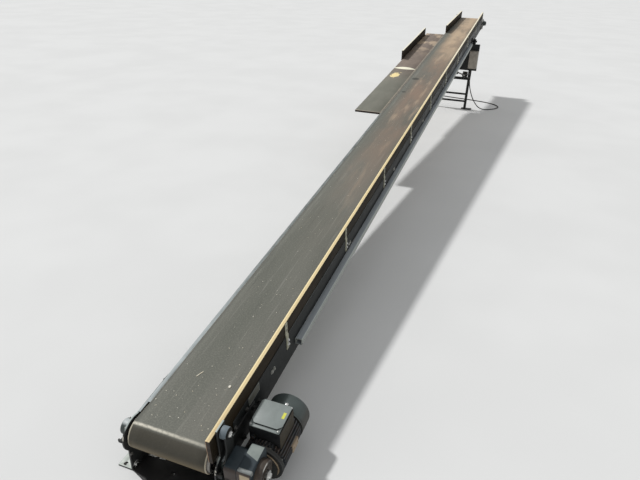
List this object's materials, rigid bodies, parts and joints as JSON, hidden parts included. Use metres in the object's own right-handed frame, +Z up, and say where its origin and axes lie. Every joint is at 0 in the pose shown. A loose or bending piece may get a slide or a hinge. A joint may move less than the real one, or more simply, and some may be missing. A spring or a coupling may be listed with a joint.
{
  "type": "mobile belt conveyor",
  "caption": "Long inclined belt conveyor with plywood side boards, a shaft-mounted gearmotor at the tail and a folding telescopic stand near the head.",
  "frame": {"origin": "on the floor, at the centre of the four foot bolt holes, under the middle of the drive drum", "axes": "+X level and along the conveyor towards its head, +Y to its left, +Z up"},
  "size_m": [7.3568, 1.2168, 1.0869],
  "materials": {
    "belt_rubber": "worn, dusty",
    "film_plywood": "film-faced plywood",
    "frame_steel": "dull dark grey",
    "rail_steel": "mid grey",
    "bare_steel": "dull",
    "cast_bearing": "rough",
    "gearmotor_paint": "blue-grey",
    "lid_alloy": "dull cast",
    "bush_rubber": "matt",
    "black_plastic": "matt",
    "box_plastic": "grey",
    "cable_rubber": "black"
  },
  "bodies": {
    "frame": {"belt": "belt_rubber", "side_member_right": "frame_steel", "side_member_left": "frame_steel", "slider_bed": "frame_steel", "cross_members": "frame_steel", "side_rails": "rail_steel", "side_board_right": "film_plywood", "board_straps": "bare_steel", "wing_table": "film_plywood", "wing_board": "film_plywood", "wing_arms": "frame_steel", "head_board_left": "film_plywood", "board_holders": "frame_steel", "tail_plate_left": "frame_steel", "tail_plate_right": "frame_steel", "head_plates": "frame_steel", "base_plate": "frame_steel", "take_up_screws": "bare_steel", "tail_bearings": "cast_bearing", "head_bearings": "cast_bearing", "gearbox": "gearmotor_paint", "motor": "gearmotor_paint", "fan_cowl": "gearmotor_paint", "terminal_box": "gearmotor_paint", "terminal_lid": "lid_alloy", "torque_arm": "frame_steel", "torque_bush": "bush_rubber", "blank_plate": "bare_steel", "roller_plates": "frame_steel", "stand_pivots": "frame_steel", "box_hanger": "frame_steel", "control_box": "box_plastic", "box_door": "box_plastic", "cable_glands": "black_plastic", "mains_cable": "cable_rubber", "cable_coil": "cable_rubber", "mains_plug": "black_plastic"},
    "drive_drum": {"drive_drum": "bare_steel"},
    "head_drum": {"head_drum": "bare_steel"},
    "return_roller_1": {"return_roller_1": "bare_steel"},
    "return_roller_2": {"return_roller_2": "bare_steel"},
    "return_roller_3": {"return_roller_3": "bare_steel"},
    "stand": {"outer_legs": "frame_steel", "stand_crossbar": "frame_steel", "winch": "black_plastic", "winch_crank": "bare_steel"},
    "stand_legs": {"inner_legs": "frame_steel", "inner_ties": "frame_steel"}
  },
  "joints": [
    {"name": "drive_drum_turn", "type": "hinge", "parent": "frame", "child": "drive_drum", "pos_m": [0, 0, 0.157], "axis": [0, 1, 0], "continuous": true},
    {"name": "head_drum_turn", "type": "hinge", "parent": "frame", "child": "head_drum", "pos_m": [7.20759, 0, 0.94], "axis": [0, 1, 0], "continuous": true},
    {"name": "return_roller_1_turn", "type": "hinge", "parent": "frame", "child": "return_roller_1", "pos_m": [1.4996, 0, 0.24195], "axis": [0, 1, 0], "continuous": true},
    {"name": "return_roller_2_turn", "type": "hinge", "parent": "frame", "child": "return_roller_2", "pos_m": [3.58731, 0, 0.46875], "axis": [0, 1, 0], "continuous": true},
    {"name": "return_roller_3_turn", "type": "hinge", "parent": "frame", "child": "return_roller_3", "pos_m": [5.4762, 0, 0.67395], "axis": [0, 1, 0], "continuous": true},
    {"name": "stand_fold", "type": "hinge", "parent": "frame", "child": "stand", "pos_m": [6.11, 0, 0.81774], "axis": [0, -1, 0], "range_deg": [0, 75]},
    {"name": "leg_slide", "type": "slide", "parent": "stand", "child": "stand_legs", "axis": [0, 0, -1], "range_m": [-0.15, 0.12]}
  ],
  "couplings": [
    {"joint": "head_drum_turn", "follows": "drive_drum_turn", "ratio": 1},
    {"joint": "return_roller_1_turn", "follows": "drive_drum_turn", "ratio": -2.5},
    {"joint": "return_roller_2_turn", "follows": "drive_drum_turn", "ratio": -2.5},
    {"joint": "return_roller_3_turn", "follows": "drive_drum_turn", "ratio": -2.5}
  ]
}
